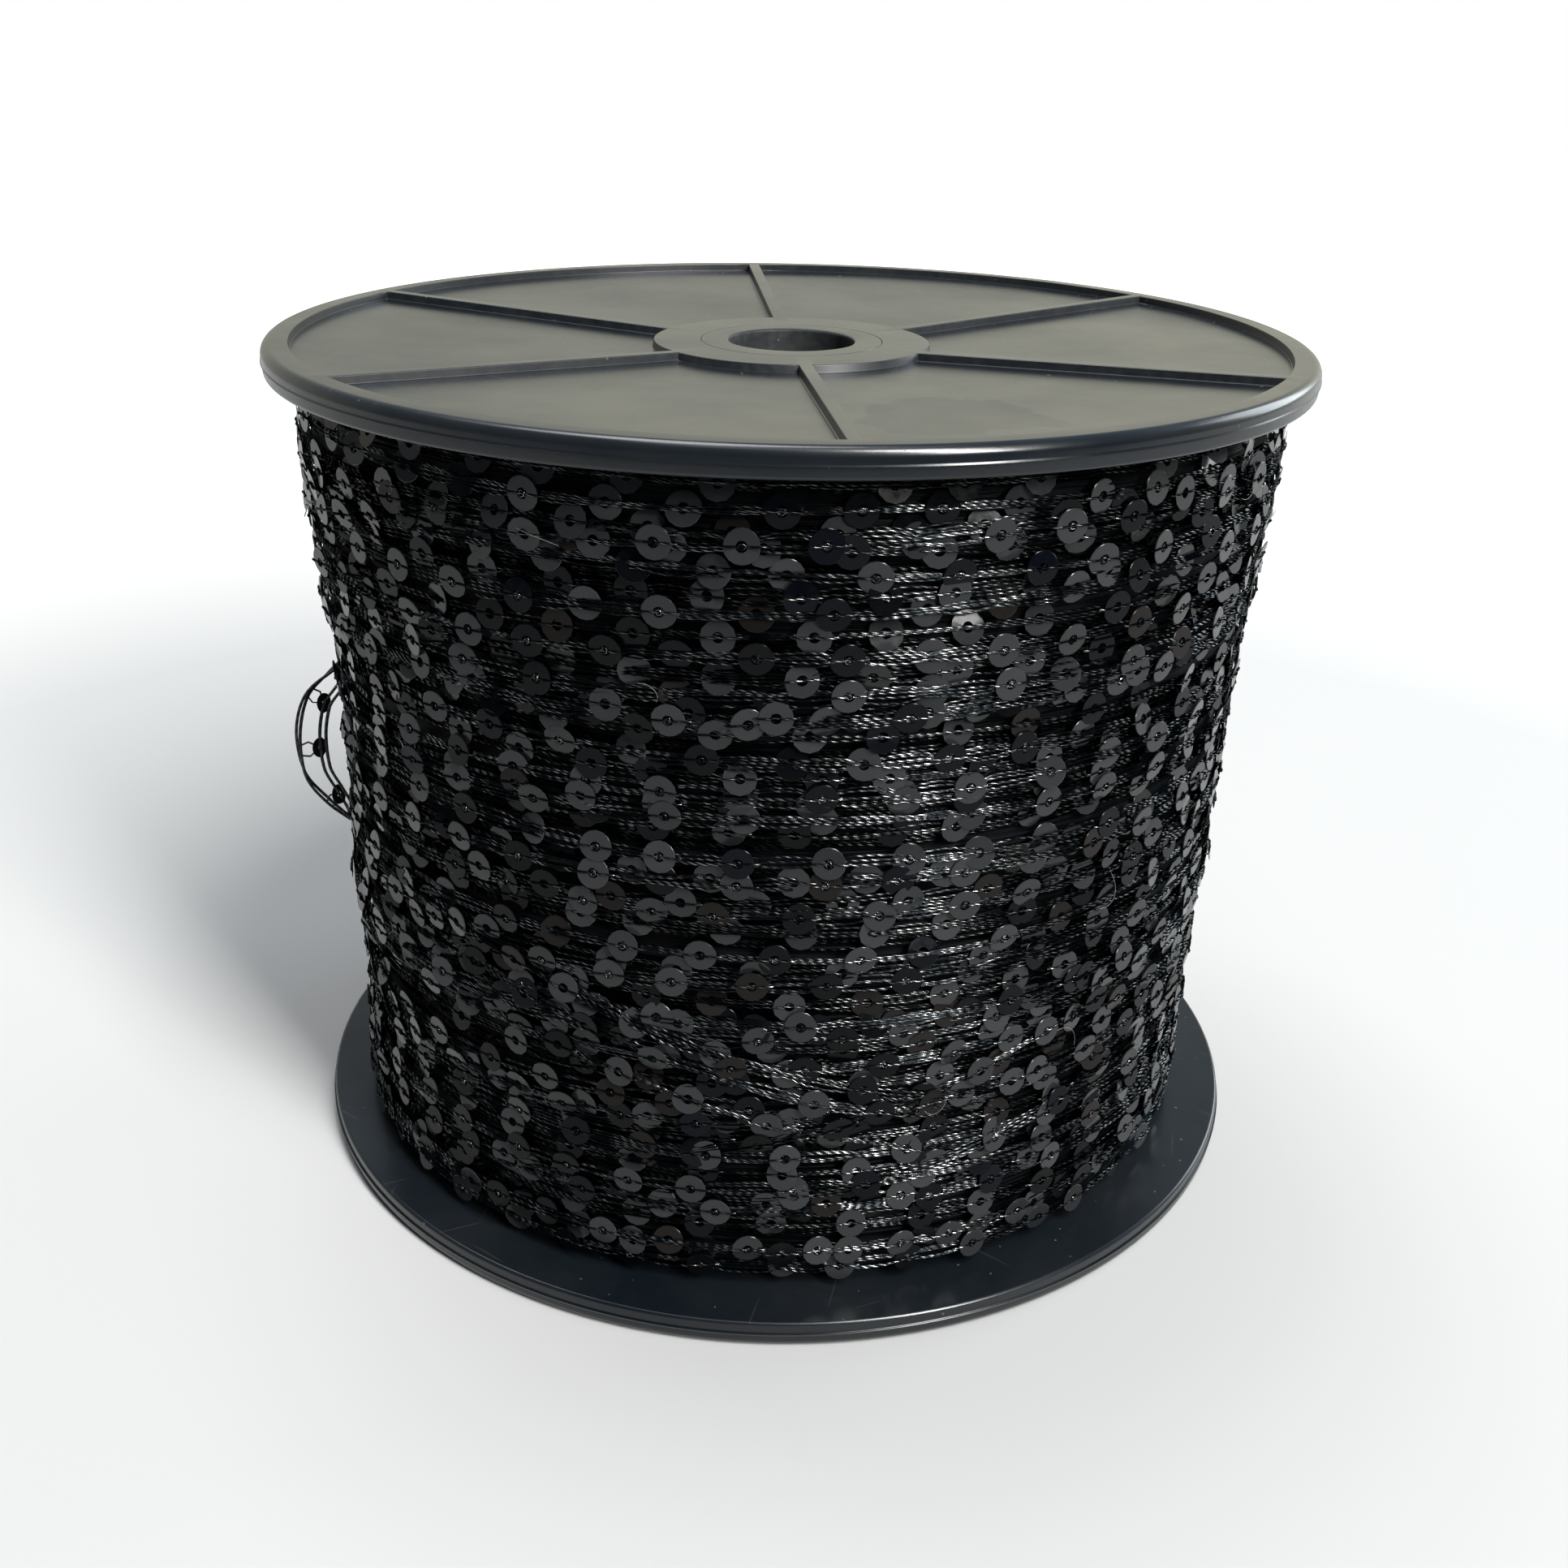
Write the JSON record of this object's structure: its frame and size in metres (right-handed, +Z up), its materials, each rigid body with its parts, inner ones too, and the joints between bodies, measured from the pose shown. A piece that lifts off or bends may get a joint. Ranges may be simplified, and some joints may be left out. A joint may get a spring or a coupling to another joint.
{
  "type": "sequin yarn on a flanged reel",
  "caption": "Black yarn strung with flat ring sequins, wound on an upright ribbed plastic reel, with a slack loop at one side.",
  "frame": {"origin": "on the reel's axis, at the plane that the lower rim stands on", "axes": "+Z up along the reel's axis, -Y towards the picture's viewer, slack loop towards -X"},
  "size_m": [0.135, 0.135, 0.1106],
  "materials": {
    "reel_plastic": "glossy black, dusty, fine scratches",
    "sequin_yarn": "black twisted thread with glossy black sequins"
  },
  "bodies": {
    "root": {"flange_top": "reel_plastic", "flange_bottom": "reel_plastic", "core_tube": "reel_plastic", "sequin_winding": "sequin_yarn", "loose_loop": "sequin_yarn"}
  },
  "joints": []
}
